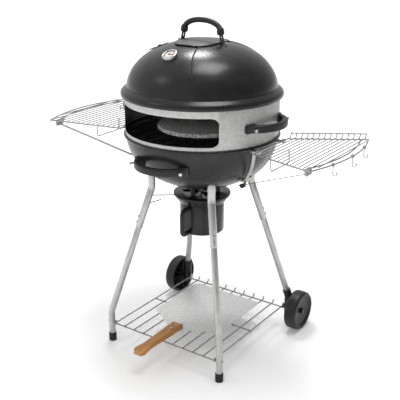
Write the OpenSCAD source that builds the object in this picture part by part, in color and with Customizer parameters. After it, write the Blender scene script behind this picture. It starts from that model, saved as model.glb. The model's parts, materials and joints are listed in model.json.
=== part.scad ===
// Kettle charcoal grill with a pizza ring, side tables, ash catcher and wheels.
// Millimetres. The front faces -Y, the floor is Z = 0.

/* [Bowl] */
// Outer radius of the bowl just below its rim
bowl_r = 282; // [230:1:340]
// Depth of the bowl from the rim to its bottom
bowl_depth = 207; // [170:1:250]
// Height of the bowl's rim above the floor
rim_z = 851; // [700:1:1040]
// Thickness of the enamelled sheet
sheet = 1.6; // [1.2:0.1:2]
// Radius of the rolled bead around the rim
bead_r = 5.5; // [4:0.5:7]
// Height of the cooking grate below the rim
cook_drop = 24; // [18:1:40]
// Radius of the charcoal grate
coal_r = 205; // [170:1:220]

/* [Pizza ring] */
// Height of the ring's band above the bowl's rim
ring_h = 162; // [140:1:200]
// Thickness of the galvanised band
ring_t = 1.5; // [1.2:0.1:2]
// Height of the band's solid strip under the opening
sill_h = 12.5; // [10:0.5:20]
// Height of the opening
opening_h = 100; // [80:1:112]
// Half of the angle that the opening takes out of the band
opening_half = 46.5; // [30:0.5:55]
// Corner radius of the opening
opening_corner = 22; // [8:1:30]

/* [Lid] */
// Rise of the dome from its base
lid_rise = 182; // [150:1:220]
// How far the rolled rim flares out past the ring
flare = 13.5; // [10:0.5:18]
// Distance of the thermometer from the lid's axis
thermo_rho = 177; // [150:1:200]
// Radius of the thermometer's bezel
thermo_r = 27.5; // [20:0.5:35]
// Distance of the vent from the lid's axis
vent_rho = 165; // [140:1:190]
// Radius of the vent's damper disc
damper_r = 36; // [30:1:42]

/* [Legs] */
// Distance of the legs from the axis where they meet the bowl
leg_top_rho = 192; // [165:1:200]
// Distance of the feet from the axis
leg_foot_rho = 363; // [320:1:440]
// Outer radius of the upper leg tube
leg_r = 14; // [12:0.5:17]
// Wall of the leg tubes
leg_wall = 1.5; // [1.2:0.1:2]
// Radius of the bends in the leg tubes
leg_bend = 70; // [50:5:100]
// Height of the lower end of the upper tubes
split_z = 480; // [420:5:520]

/* [Wheels] */
// Radius of the wheels
wheel_r = 80; // [65:1:95]
// Width of the wheels
wheel_w = 48; // [36:1:60]
// Radius of the axle pins
axle_r = 5; // [4:0.5:7]

/* [Shelf] */
// Height of the shelf's long wires
shelf_z = 83; // [70:1:130]
// Number of long wires in the shelf
shelf_wires = 11; // [7:1:15]

/* [Side tables] */
// Distance from the hinge rod to the outer edge
table_depth = 307; // [240:1:380]
// Half of the angle that a table covers
table_half = 21.8; // [18:0.1:24]
// How far the tables tip up, in degrees
table_rise = 3.3; // [0:0.1:4]
// Spacing of the deck wires
deck_pitch = 19; // [16:1:26]
// Height of the hinge rod below the bowl's rim
hinge_drop = 13; // [11:1:18]

/* [Ash catcher] */
// Radius of the ash can
can_r = 85; // [70:1:105]
// Height of the ash can
can_h = 122; // [95:1:150]
// Gap between the bowl and the plate above the can
ash_gap = 34; // [28:1:45]

/* [Handles] */
// Half of the lid handle's length
lid_grip_half = 88; // [70:1:100]
// Height of the lid handle's top above the dome
lid_grip_z = 81; // [65:1:95]
// Half of the width of the ring's and the bowl's handles
side_grip_half = 104; // [85:1:115]
// How far those handles stand out
side_grip_reach = 58; // [45:1:65]

/* [Stone and peel] */
// Radius of the pizza stone
stone_r = 165; // [130:1:180]
// Thickness of the pizza stone
stone_t = 14; // [10:1:18]
// Width of the peel's blade
peel_w = 320; // [260:1:360]
// Length of the peel's blade
peel_l = 380; // [300:1:460]
// Length of the peel's wooden handle
peel_grip_l = 265; // [200:1:320]

/* [Fits] */
// Gap between pieces that only rest on each other or pass by
gap = 0.4; // [0.3:0.1:0.8]
// Radial clearance of a pin in its bore
running = 0.06; // [0.03:0.01:0.1]
// Clearance under what is screwed down on a curved sheet
seat_gap = 0.08; // [0.05:0.01:0.2]

/* [Hidden] */
$fn = 96;
steps = 26;
bowl_n = 2.1;
lid_n = 2.2;

// Bowl, ring and lid share one stack of heights and radii
bead_rho = bowl_r + 3;
bowl_bottom = rim_z - bowl_depth;
ring_r = bowl_r + 2;
ring_z = rim_z + gap;
ring_top = ring_z + ring_h;
sill_z = ring_z + sill_h;
lid_r = ring_r - 7;
lid_z0 = ring_top - 14.2;
flare_r = ring_r + flare;
bar_sink = 0.8;
rack_r = 2.5;
rack_bar = 1.6;
rack_z = sill_z - rack_r - 2 * rack_bar + bar_sink - 0.1;
stone_z = sill_z + gap;

function curve_r(R, H, n, h) = R * pow(1 - pow(h / H, n), 1 / n);
function curve_h(R, H, n, r) = H * pow(1 - pow(r / R, n), 1 / n);
function curve_tilt(R, H, n, r) =
    atan2(pow(r, n - 1) / pow(R, n), pow(curve_h(R, H, n, r), n - 1) / pow(H, n));
function curve_pts(R, H, n, t0) =
    [for (i = [0:steps])
        let (t = t0 + (90 - t0) * i / steps)
        [R * pow(cos(t), 2 / n), H * pow(sin(t), 2 / n)]];
function reversed(v) = [for (i = [len(v) - 1:-1:0]) v[i]];
function bowl_z(r) = rim_z - curve_h(bowl_r, bowl_depth, bowl_n, r);
function bowl_rho(z) = curve_r(bowl_r, bowl_depth, bowl_n, rim_z - z);
function lid_z(r) = lid_z0 + curve_h(lid_r, lid_rise, lid_n, r);

// Legs
leg_az = [-135, -45, 45, 135];
lower_r = leg_r - leg_wall - 0.1;
leg_bend_z = bowl_bottom - 4;
foot_bend_z = 128;
leg_lap = 60;
leg_screw_z = [split_z + 18, split_z + 40];
leg_xy = leg_foot_rho / sqrt(2);
cap_r = lower_r + 2.6;
function leg_rho(z) =
    leg_top_rho + (leg_foot_rho - leg_top_rho) * (leg_bend_z - z) / (leg_bend_z - foot_bend_z);
leg_lean = atan2(leg_foot_rho - leg_top_rho, leg_bend_z - foot_bend_z);

// Wheels
bracket_r = lower_r + 4.5;
wheel_in = leg_xy + bracket_r + 5;

// Shelf
wire_r = 2.5;
cross_r = 3;
shelf_y = leg_xy;
eye_t = 3;
eye_x = leg_xy - bracket_r - 1 - eye_t;
shelf_half = eye_x - 0.5;
shelf_bolt_r = 3;

// Side tables
frame_r = 3;
deck_r = 1.8;
hinge_x = bead_rho + bead_r + frame_r + 4;
hinge_z = rim_z - hinge_drop;
table_r = hinge_x + table_depth;
lug_y = 86;
weld_line = 0.03;
deck_z = frame_r + deck_r + weld_line;
knob_rho = 206;
knob_z = bowl_z(knob_rho) - 20;
stud_r = 3;
strut_x = table_depth - 62;
strut_drop = 16;
strut_y = -(hinge_x + strut_x) * tan(table_half) + 12;
pin_r = 3;
pin_x = hinge_x + strut_x * cos(table_rise) + strut_drop * sin(table_rise);
pin_z = hinge_z + strut_x * sin(table_rise) - strut_drop * cos(table_rise);
hook_az = [-11.5, 0, 11.5];
deck_x0 = 9;
deck_wires = floor((table_depth - 24 - deck_x0) / deck_pitch);
rail_wires = floor((table_r * cos(table_half) - hinge_x - 5 - deck_x0) / deck_pitch);

// Ash catcher
plate_z = bowl_bottom - ash_gap;
plate_r = can_r + 24;
can_top = plate_z - 30;
can_z = can_top - can_h;
hub_r = 4;
lever_az = -142;
lever_z = plate_z - 13;
blade_z = bowl_bottom + sheet + 10;

// Handles
lid_top = lid_z0 + lid_rise;
bowl_grip_z = rim_z - 76;
ring_grip_z = ring_z + 66;
grip_sag = 32;
lid_foot_x = lid_grip_half + 7;
lid_screw_x = lid_foot_x + 8;

// Stone and peel on the shelf
peel_z = shelf_z + wire_r + gap;
peel_x = -10;
peel_y1 = 205;
peel_y0 = peel_y1 - peel_l;
peel_end = peel_y0 - peel_grip_l + 40;

// The origin stands on the floor under the middle of the whole grill
mid_y = (peel_end + leg_xy + wheel_r) / 2;

// ---- building helpers ----

module place() translate([0, -mid_y, 0]) children();
module both_sides(side) mirror([side < 0 ? 1 : 0, 0, 0]) children();
module upright(az = 0) rotate([0, 0, az]) rotate([90, 0, 0]) children();

module rod(h, r) rotate([0, 90, 0]) cylinder(h = h, r = r);

// A bend between two straight runs, let a little way into both
elbow_lap = 4;
elbow_skin = 0.05;

module elbow(angle, bend, r) {
    s = sign(angle);
    translate([0, s * bend, 0])
        rotate((s > 0 ? -90 : 90 + angle) - elbow_lap)
            rotate_extrude(angle = abs(angle) + 2 * elbow_lap)
                translate([bend, 0]) circle(r - elbow_skin);
}

function heading(a, b) = atan2(b[1] - a[1], b[0] - a[0]);
function wrapped(a) = a > 180 ? a - 360 : a < -180 ? a + 360 : a;

// A round wire along a flat path, with an elbow at each corner
module wire(pts, bend, r, i = 0, lead = 0) {
    a = pts[i];
    b = pts[i + 1];
    last = i == len(pts) - 2;
    turn = last ? 0 : wrapped(heading(b, pts[i + 2]) - heading(a, b));
    cut = bend * tan(abs(turn) / 2);
    translate([a[0], a[1], 0]) rotate(heading(a, b)) {
        translate([lead, 0, 0]) rod(norm(b - a) - lead - cut, r);
        if (turn != 0) translate([norm(b - a) - cut, 0, 0]) elbow(turn, bend, r);
    }
    if (!last) wire(pts, bend, r, i + 1, cut);
}

// A straight length of tube between two points of a flat path, short of its bends
module tube_run(a, b, r, bore, skip_a = 0, skip_b = 0)
    translate([a[0], a[1], 0]) rotate(heading(a, b)) translate([skip_a, 0, 0])
        rotate([0, 90, 0]) linear_extrude(norm(b - a) - skip_a - skip_b) annulus(r, bore);

// The bend of a tube at the corner b on the way from a to c, let into the runs on both sides
bend_lap = 0.8;
bend_skin = 0.05;

module tube_bend(a, b, c, bend, r, bore) {
    turn = wrapped(heading(b, c) - heading(a, b));
    s = sign(turn);
    translate([b[0], b[1], 0]) rotate(heading(a, b))
        translate([-bend * tan(abs(turn) / 2), s * bend, 0])
            rotate((s > 0 ? -90 : 90 + turn) - bend_lap)
                rotate_extrude(angle = abs(turn) + 2 * bend_lap) translate([bend, 0])
                    annulus(r - bend_skin, bore + bend_skin);
}

module annulus(r, bore) difference() {
    circle(r);
    circle(bore);
}

module block(size, c = [0, 0, 0]) translate(c - size / 2) cube(size);

module bowl_envelope(extra = 0) {
    pts = curve_pts(bowl_r + extra, bowl_depth + extra, bowl_n, 0);
    rotate_extrude() polygon([for (p = concat(pts, [[0, 0]])) [p[0], rim_z - p[1]]]);
}

module lid_envelope(extra = 0) {
    pts = curve_pts(lid_r + extra, lid_rise + extra, lid_n, 0);
    rotate_extrude() polygon([for (p = concat(pts, [[0, 0]])) [p[0], lid_z0 + p[1]]]);
}

// Puts a piece on the dome, square to its surface, with local Z pointing out
module on_lid(rho, az) {
    rotate([0, 0, az]) translate([rho, 0, lid_z(rho)])
        rotate([0, curve_tilt(lid_r, lid_rise, lid_n, rho), 0]) children();
}

// A round grate: straight wires let into a flat hoop, with one bar across below
module grate(r, hoop, bar, pitch, z) {
    n = floor((r - 12) / pitch);
    translate([0, 0, z]) {
        rotate_extrude() translate([r - hoop, -hoop]) square(2 * hoop);
        for (i = [-n:n]) {
            half = sqrt(r * r - i * i * pitch * pitch);
            translate([i * pitch, -half, hoop + bar - bar_sink]) rotate(90) rod(2 * half, bar);
        }
        block([2 * r, 2 * hoop - 1, 2 * hoop - 1]);
    }
}

// A moulded grip that arches out from a wall at radius wall_r, along +X
function arch_r(half, sag) = (half * half + sag * sag) / (2 * sag);

module arch_grip(wall_r, half, reach, h, t) {
    root = sqrt(wall_r * wall_r - half * half);
    sag = wall_r + reach - t / 2 - root;
    R = arch_r(half, sag);
    turn = asin(half / R) + 9;
    translate([wall_r + reach - t / 2 - R, 0, 0]) rotate(-turn)
        rotate_extrude(angle = 2 * turn) translate([R, 0]) rounded_bar(t, h, 6);
}

module rounded_bar(w, h, r) {
    union() {
        square([w - 2 * r, h], center = true);
        square([w, h - 2 * r], center = true);
        for (x = [-1, 1], z = [-1, 1]) translate([x * (w / 2 - r), z * (h / 2 - r)]) circle(r);
    }
}

module screw(r, l, head_r, head_h) {
    translate([0, 0, -l]) cylinder(h = l + head_h / 2, r = r);
    cylinder(h = head_h, r = head_r);
}

// ---- bowl ----

module bowl() color("#2b2b2c") {
    outer = curve_pts(bowl_r, bowl_depth, bowl_n, 0);
    inner = curve_pts(bowl_r - sheet, bowl_depth - sheet, bowl_n, 0);
    difference() {
        union() {
            rotate_extrude()
                polygon([for (p = concat(outer, reversed(inner))) [p[0], rim_z - p[1]]]);
            rotate_extrude() translate([bead_rho, rim_z - bead_r]) circle(bead_r);
        }
        translate([0, 0, bowl_bottom - 5]) cylinder(h = 20, r = hub_r + running);
        for (a = [90, 210, 330]) rotate([0, 0, a]) ash_slot();
    }
}

slot_in = 24;
slot_out = 62;
slot_r = 12;

module ash_slot() {
    block([slot_out - slot_in, 2 * slot_r, 40], [(slot_in + slot_out) / 2, 0, bowl_bottom]);
    for (x = [slot_in, slot_out])
        translate([x, 0, bowl_bottom - 20]) cylinder(h = 40, r = slot_r);
}

module charcoal_grate() color("#8a8a88")
    grate(coal_r, 3, 3, 24, bowl_z(coal_r + 5) + 10);

module cooking_grate() color("#b9b9b5")
    grate(bowl_rho(rim_z - cook_drop) - sheet - 6, 3, 2.2, 17, rim_z - cook_drop);

// ---- bowl handle ----

grip_h = 26;
grip_t = 22;
bowl_wall = bowl_rho(bowl_grip_z + 15);

module bowl_handle_grip() color("#1f1f20")
    rotate([0, 0, -90]) translate([0, 0, bowl_grip_z]) difference() {
        arch_grip(bowl_wall, side_grip_half, side_grip_reach, grip_h, grip_t);
        cylinder(h = 80, r = bowl_wall + 8, center = true);
        for (s = [-1, 1]) grip_bolt(s, bowl_wall) cylinder(h = 60, r = 3 + running, center = true);
    }

// Local frame of a grip's bolt, square to the bracket's foot
module grip_bolt(s, wall)
    rotate([0, 0, s * grip_foot_az(wall)]) translate([wall + 8, 0, 0])
        rotate([0, 90, 0]) children();

function grip_foot_az(wall) = asin((side_grip_half - 3) / (wall + 8));

module bowl_handle_bracket() color("#262626")
    rotate([0, 0, -90]) difference() {
        for (s = [-1, 1]) grip_foot(s, bowl_wall, bowl_grip_z);
        bowl_envelope();
        for (s = [-1, 1]) translate([0, 0, bowl_grip_z])
            grip_bolt(s, bowl_wall) cylinder(h = 60, r = 3 + running, center = true);
    }

module grip_foot(s, wall, z) intersection() {
    rotate([0, 0, s * grip_foot_az(wall)])
        block([24, 36, 30], [wall + 8 - 12, 0, z]);
    translate([0, 0, z]) cylinder(h = 60, r = wall + 8 - seat_gap, center = true);
}

module bowl_handle_bolts() color("#c9c9c6")
    rotate([0, 0, -90]) translate([0, 0, bowl_grip_z])
        for (s = [-1, 1]) grip_bolt(s, bowl_wall) grip_screw();

// The screw's head sits on the arch's outer face
head_seat = 26;

module grip_screw() translate([0, 0, head_seat]) screw(3, head_seat + 7, 6, 4);

// ---- legs ----

module leg_holes(az, r)
    rotate([0, 0, az]) for (z = leg_screw_z)
        translate([leg_rho(z), 0, z]) rotate([0, 90 - leg_lean, 0]) cylinder(h = 60, r = r);

// Corner points of a leg's centre line, from the bowl to the floor
function leg_path(end_z) = [
    [leg_top_rho, bowl_z(leg_top_rho + leg_r) + 4], [leg_top_rho, leg_bend_z],
    [leg_foot_rho, foot_bend_z], [leg_foot_rho, end_z]];
leg_cut = leg_bend * tan(leg_lean / 2);

module upper_leg(az) color("#b0b0ae") {
    p = leg_path(0);
    bore = leg_r - leg_wall;
    difference() {
        upright(az) tube_run(p[0], p[1], leg_r, bore, 0, leg_cut);
        bowl_envelope(gap);
    }
    upright(az) tube_bend(p[0], p[1], p[2], leg_bend, leg_r, bore);
    difference() {
        upright(az) tube_run(p[1], [leg_rho(split_z), split_z], leg_r, bore, leg_cut, 0);
        leg_holes(az, 2.6);
    }
}

module lower_leg(az, end_z) color("#a6a6a4") {
    p = leg_path(end_z);
    top = [leg_rho(split_z + leg_lap), split_z + leg_lap];
    bore = lower_r - leg_wall;
    difference() {
        upright(az) tube_run(top, p[2], lower_r, bore, 0, leg_cut);
        leg_holes(az, 2.6);
    }
    upright(az) tube_bend(p[1], p[2], p[3], leg_bend, lower_r, bore);
    difference() {
        upright(az) tube_run(p[2], p[3], lower_r, bore, leg_cut, 0);
        rotate([0, 0, az]) translate([leg_foot_rho, 0, shelf_z]) rotate([0, 0, -az])
            rotate([0, 90, 0]) cylinder(h = 80, r = shelf_bolt_r + 0.1, center = true);
    }
}

module leg_sockets() color("#2b2b2c") difference() {
    for (az = leg_az) rotate([0, 0, az]) translate([leg_top_rho, 0, leg_bend_z + 18])
        cylinder(h = 80, r = leg_r - leg_wall - 0.15);
    bowl_envelope();
}

module leg_screws() color("#d0d0cc")
    for (az = leg_az, z = leg_screw_z) rotate([0, 0, az])
        translate([leg_rho(z), 0, z]) rotate([0, 90 - leg_lean, 0])
            translate([0, 0, leg_r + 0.2]) screw(2.5, 8, 4.5, 2.5);

module foot_caps() color("#161616")
    for (s = [-1, 1]) translate([s * leg_xy, -leg_xy, 0]) difference() {
        cylinder(h = 34, r = cap_r);
        translate([0, 0, 4]) cylinder(h = 60, r = lower_r + running);
    }

// ---- wheels ----

axle_z = wheel_r;

module wheel_bracket() color("#1d1d1e") difference() {
    union() {
        translate([leg_xy, leg_xy, axle_z - 20])
            cylinder(h = foot_bend_z - axle_z + 26, r = bracket_r);
        leaned() cylinder(h = 36, r = bracket_r - 0.6);
        translate([leg_xy, leg_xy, axle_z]) rotate([0, 90, 0])
            cylinder(h = bracket_r + 4.2, r = 13);
    }
    translate([leg_xy, leg_xy, axle_z + 16])
        cylinder(h = foot_bend_z - axle_z - 10, r = lower_r + 1.3);
    leaned() cylinder(h = 80, r = lower_r + 1.1);
    translate([leg_xy, leg_xy, axle_z]) rotate([0, 90, 0])
        cylinder(h = 90, r = axle_r + 0.01, center = true);
}

// The line of a rear leg just above its bend
module leaned() translate([leg_xy, leg_xy, 0])
    rotate([0, 0, 45]) translate([0, 0, foot_bend_z]) rotate([0, -leg_lean, 0]) children();

axle_end = wheel_in + wheel_w - 12;
axle_head = 3;

module axles() color("#c4c4c0")
    for (s = [-1, 1]) both_sides(s)
        translate([eye_x - gap - axle_head, leg_xy, axle_z]) rotate([0, 90, 0]) {
            cylinder(h = axle_end + 9 - eye_x + gap + axle_head, r = axle_r);
            cylinder(h = axle_head, r = axle_r + 4);
        }

module axle_nuts() color("#1d1d1e")
    for (s = [-1, 1]) both_sides(s)
        translate([axle_end + gap, leg_xy, axle_z]) rotate([0, 90, 0]) difference() {
            cylinder(h = 11, r = 11);
            translate([0, 0, -1]) cylinder(h = 10, r = axle_r + 0.01);
        }

module wheel() color("#1b1b1c")
    translate([wheel_in, leg_xy, axle_z]) rotate([0, 90, 0]) difference() {
        union() {
            rotate_extrude() polygon([
                [axle_r + 7, 0], [axle_r + 7, wheel_w - 18], [wheel_r - 16, wheel_w - 13],
                [wheel_r - 8, 3], [wheel_r - 4, 0], [wheel_r - 1, 3], [wheel_r, wheel_w / 2],
                [wheel_r - 1.5, wheel_w - 7], [wheel_r - 7, wheel_w], [wheel_r - 14, wheel_w],
                [wheel_r - 22, wheel_w - 7], [axle_r + 9, wheel_w - 12], [0, wheel_w - 12],
                [0, 0]]);
            for (a = [0:30:330]) rotate([0, 0, a])
                block([wheel_r - 20, 2.4, wheel_w - 17],
                      [wheel_r / 2 - 2, 0, (wheel_w - 9) / 2]);
        }
        cylinder(h = 200, r = axle_r + running, center = true);
    }

// ---- shelf ----

module shelf() color("#9a9a9a") difference() {
    shelf_wirework();
    for (s = [-1, 1]) both_sides(s) translate([eye_x - 6, -leg_xy, shelf_z])
        rotate([0, 90, 0]) cylinder(h = 20, r = shelf_bolt_r + 0.1);
}

module shelf_wirework() {
    pitch = 2 * shelf_half / (shelf_wires - 1);
    for (i = [0:shelf_wires - 1])
        translate([-shelf_half + i * pitch, 0, 0]) rotate([0, 0, 90]) rotate([90, 0, 0])
            wire([[-shelf_y - 8, shelf_z], [shelf_y - 12, shelf_z], [shelf_y - 4, shelf_z + 12]],
                 8, wire_r);
    for (y = [-shelf_y, 0, shelf_y - 14])
        translate([-shelf_half, y, shelf_z - wire_r - cross_r + 0.8])
            rod(2 * shelf_half, cross_r);
    for (s = [-1, 1], y = [-1, 1]) both_sides(s) shelf_eye(y);
}

// The front eyes are bolted to the legs; the rear eyes hang on the axles
module shelf_eye(y) {
    y0 = y < 0 ? -shelf_y : shelf_y - 14;
    eye_y = y * leg_xy;
    eye_z = y < 0 ? shelf_z : axle_z;
    eye_bore = y < 0 ? shelf_bolt_r + 0.1 : axle_r + running;
    low = min(shelf_z - 9, eye_z);
    high = max(shelf_z - 1, eye_z);
    difference() {
        union() {
            translate([eye_x, eye_y, eye_z]) rotate([0, 90, 0])
                cylinder(h = eye_t, r = eye_bore + 5);
            block([eye_t, abs(eye_y - y0) + 8, 8],
                  [eye_x + eye_t / 2, (eye_y + y0) / 2, shelf_z - 5]);
            block([eye_t, 8, high - low], [eye_x + eye_t / 2, eye_y, (low + high) / 2]);
            translate([shelf_half - 3, y0, shelf_z - 4.7]) rod(5, cross_r - 0.2);
        }
        translate([eye_x, eye_y, eye_z]) rotate([0, 90, 0])
            cylinder(h = 20, r = eye_bore, center = true);
    }
}

module shelf_bolts() color("#c9c9c6")
    for (s = [-1, 1]) both_sides(s)
        translate([leg_xy + lower_r + 0.2, -leg_xy, shelf_z]) rotate([0, 90, 0])
            screw(shelf_bolt_r, leg_xy + lower_r + 4 - eye_x, 6, 3.5);

// ---- ash catcher mount, sweeper and can ----

stand_rho = 62;

module ash_plate() color("#242425") difference() {
    union() {
        rotate_extrude() polygon([
            [0, plate_z], [0, plate_z - 2], [plate_r - 3, plate_z - 2],
            [plate_r - 1, plate_z - 6], [can_r + 2.4, can_top - 4], [can_r + 4.4, can_top - 4],
            [plate_r + 1, plate_z - 6], [plate_r, plate_z]]);
        for (a = [30, 150, 270]) rotate([0, 0, a]) translate([stand_rho, 0, plate_z - 1])
            cylinder(h = ash_gap + 20, r = 8);
    }
    bowl_envelope();
    for (a = [30, 150, 270]) rotate([0, 0, a]) translate([stand_rho, 0, plate_z - 10])
        cylinder(h = ash_gap + 60, r = 2.6);
    cylinder(h = 3 * rim_z, r = hub_r + 3, center = true);
    for (a = [90, 210, 330]) rotate([0, 0, a]) translate([0, 0, -ash_gap]) ash_slot();
    lever_window();
}

// The skirt is cut away where the lever swings
lever_sweep = 40;

module lever_window()
    rotate([0, 0, lever_az - lever_sweep - 6]) translate([0, 0, lever_z - 7])
        rotate_extrude(angle = lever_sweep + 12) translate([can_r - 20, 0]) square([80, 14]);

module ash_plate_bolts() color("#c9c9c6")
    for (a = [30, 150, 270]) rotate([0, 0, a])
        translate([stand_rho, 0, plate_z - 2 - gap]) rotate([180, 0, 0])
            screw(2.5, ash_gap + 2, 5, 3);

module sweeper_blades() color("#9c9c98") {
    translate([0, 0, blade_z]) cylinder(h = 3, r = 16);
    for (a = [90, 210, 330]) rotate([0, 0, a + lever_sweep])
        block([slot_out + slot_r - 4, 30, 2.4],
              [(slot_out + slot_r) / 2 + 2, 0, blade_z + 1.5]);
    translate([0, 0, lever_z]) cylinder(h = blade_z - lever_z + 1.5, r = hub_r);
}

lever_rho = 205;
lever_wire = 2.2;

module sweeper_lever() color("#8f8f8f") {
    difference() {
        translate([0, 0, lever_z - 4]) cylinder(h = 12, r = 9);
        translate([0, 0, lever_z - 0.2]) cylinder(h = 12, r = hub_r + 0.01);
    }
    upright(lever_az)
        wire([[hub_r + 2, lever_z], [lever_rho, lever_z], [lever_rho, lever_z - 32],
              [lever_rho - 48, lever_z - 18]], 6, lever_wire);
}

module ash_can() color("#232324") rotate_extrude() polygon([
    [0, can_z], [can_r - 5, can_z], [can_r - 1, can_z + 2], [can_r, can_z + 6],
    [can_r, can_top], [can_r - 1.2, can_top], [can_r - 1.2, can_z + 6.5],
    [can_r - 1.8, can_z + 3], [can_r - 5.4, can_z + 1.2], [0, can_z + 1.2]]);

can_grip_out = 44;
can_grip_r = 9;

module ash_can_grip() color("#1b1b1c") rotate([0, 0, -90]) difference() {
    rotate([90, 0, 0])
        wire([[can_r - 12, can_top - 15], [can_r + can_grip_out, can_top - 15],
              [can_r + can_grip_out, can_z + 12], [can_r - 12, can_z + 12]], 16, can_grip_r);
    cylinder(h = 3 * rim_z, r = can_r, center = true);
}

// ---- side tables ----

// Local frame of a table: origin on the hinge rod, deck along +X
module table_frame() translate([hinge_x, 0, hinge_z]) rotate([0, -table_rise, 0]) children();

table_inner_y = (hinge_x + 9) * tan(table_half);
side_r = frame_r - 0.15;
hoop_r = frame_r - 0.3;
rail_h = 15;
rail_back = 10;

module table() color("#9a9a9a") table_frame() {
    // hinge rod, side rods and the two outer hoops
    translate([0, -table_inner_y, 0]) rotate(90) rod(2 * table_inner_y, frame_r);
    for (s = [-1, 1]) {
        translate([-hinge_x, 0, 0]) rotate(s * table_half)
            translate([hinge_x / cos(table_half), 0, 0])
                rod(table_r - hinge_x / cos(table_half) + frame_r, side_r);
    }
    for (r = [table_r, table_r - 26])
        translate([-hinge_x, 0, 0]) rotate(-table_half)
            rotate_extrude(angle = 2 * table_half) translate([r, 0]) circle(hoop_r);
    // deck wires, each bent up at the rear to the gallery rail
    for (i = [0:deck_wires]) deck_wire(deck_x0 + i * deck_pitch, i <= rail_wires);
    gallery_rail();
    strut_pin();
    bail();
}

function deck_y(x) = min((x + hinge_x) * tan(table_half),
                         sqrt(pow(table_r - 3, 2) - pow(x + hinge_x, 2)));

module deck_wire(x, railed) {
    y = deck_y(x);
    end = railed ? [[y - 4, deck_z], [y - 4 + rail_back, deck_z + rail_h]] : [[y, deck_z]];
    translate([x, 0, 0]) rotate([0, 0, 90]) rotate([90, 0, 0])
        wire(concat([[-y, deck_z]], end), 6, deck_r);
}

module gallery_rail() {
    x1 = deck_x0 + deck_pitch * rail_wires;
    dy = rail_back - 4;
    a = [deck_x0 - 3, deck_y(deck_x0) + dy];
    b = [x1 + 3, deck_y(x1) + dy];
    translate([0, 0, deck_z + rail_h]) wire([a, b], 1, frame_r - 0.4);
}

// A short pin under the front corner holds the strut's eye
module strut_pin() translate([strut_x, strut_y, 0]) {
    translate([0, -8, -strut_drop]) rotate(90) rod(34, pin_r);
    for (y = [-7.5, 22.5]) block([10, 3, strut_drop + 2], [0, y + 1.5, -strut_drop / 2 - 1]);
    block([12, 46, 3], [0, 8, -0.5]);
}

bail_x = deck_x0 + 4 * deck_pitch;
bail_drop = 42;

module bail() {
    y0 = -(bail_x + hinge_x) * tan(table_half);
    translate([bail_x, 0, 0]) rotate([0, 0, 90]) rotate([90, 0, 0])
        wire([[y0, 0], [y0, -bail_drop], [y0 + 125, -bail_drop], [y0 + 125, deck_z - 0.5]], 9, 2.1);
}

// The bracket: two straps down the bowl, meeting at the strut's stud
strap_w = 16;
strap_n = 4;

module table_bracket() color("#8e8e8c") difference() {
    union() {
        for (s = [-1, 1]) {
            translate([hinge_x, s * lug_y - 6, hinge_z]) rotate(90) rod(12, frame_r + 4);
            block([hinge_x - bowl_r + 22, 12, 8],
                  [(hinge_x + bowl_r - 22) / 2, s * lug_y, hinge_z - 3.4]);
            intersection() {
                difference() {
                    bowl_envelope(2.6);
                    bowl_envelope();
                }
                strap_path(s);
            }
        }
        stud_block();
    }
    bowl_envelope();
    translate([hinge_x, -200, hinge_z]) rotate(90) rod(400, frame_r + running);
}

// Vertical slab that a strap follows from its lug in to the stud
module strap_path(s) {
    x0 = hinge_x - 10;
    dx = x0 - knob_rho + 16;
    dy = lug_y - 14;
    a = atan2(dy, dx);
    translate([x0, s * lug_y, knob_z - 10]) rotate([0, 0, 180 + s * a])
        translate([-20, -strap_w / 2, 0])
            cube([sqrt(dx * dx + dy * dy) + 20, strap_w, hinge_z - knob_z + 4]);
}

stud_y = -32;

module stud_block() {
    block([20, 44, 14], [knob_rho - 6, 0, bowl_z(knob_rho - 6) - 2]);
    block([12, 3, 34], [knob_rho, stud_y + 7, knob_z + 10]);
    block([12, 24, 10], [knob_rho, stud_y + 15, bowl_z(knob_rho) - 1]);
    translate([knob_rho, stud_y - 8, knob_z]) rotate(90) rod(16, stud_r);
}

module strut_knobs() color("#1b1b1c")
    for (s = [-1, 1]) both_sides(s)
        translate([knob_rho, stud_y - 14, knob_z]) rotate(90) difference() {
            union() {
                rod(6, 9);
                block([5, 26, 5], [3, 0, 0]);
            }
            translate([4, 0, 0]) rod(10, stud_r + 0.01);
        }

// The strut: an eye on the table's pin and an open hook under the stud
strut_w = 16;
strut_t = 2.6;
hook_y = stud_y - 3.5;
eye_y = strut_y + 9;

module strut() color("#a4a4a2") difference() {
    slope = (pin_z - knob_z) / (pin_x - knob_rho);
    neck = [knob_rho + 22, hook_y, knob_z + 22 * slope];
    union() {
        strut_strip([pin_x, eye_y, pin_z], neck);
        translate([knob_rho, hook_y, knob_z]) rotate([0, -atan(slope), 0])
            block([27, 7, strut_t], [13.5, 0, 0]);
        translate([pin_x, strut_y - 3, pin_z]) rotate(90) rod(24, pin_r + 4);
        translate([knob_rho, hook_y - 4, knob_z]) rotate(90) rod(8, stud_r + 4.5);
    }
    translate([pin_x, strut_y - 10, pin_z]) rotate(90) rod(60, pin_r + running);
    translate([knob_rho, hook_y - 20, knob_z]) rotate(90) rod(40, stud_r + 0.8);
    block([2 * stud_r + 1.6, 30, 40], [knob_rho, hook_y, knob_z + 20]);
}

module strut_strip(a, b) {
    d = b - a;
    plan = norm([d[0], d[1]]);
    translate(a) rotate([0, 0, atan2(d[1], d[0])]) rotate([0, -atan2(d[2], plan), 0])
        block([norm(d), strut_w, strut_t], [norm(d) / 2, 0, 0]);
}

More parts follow.
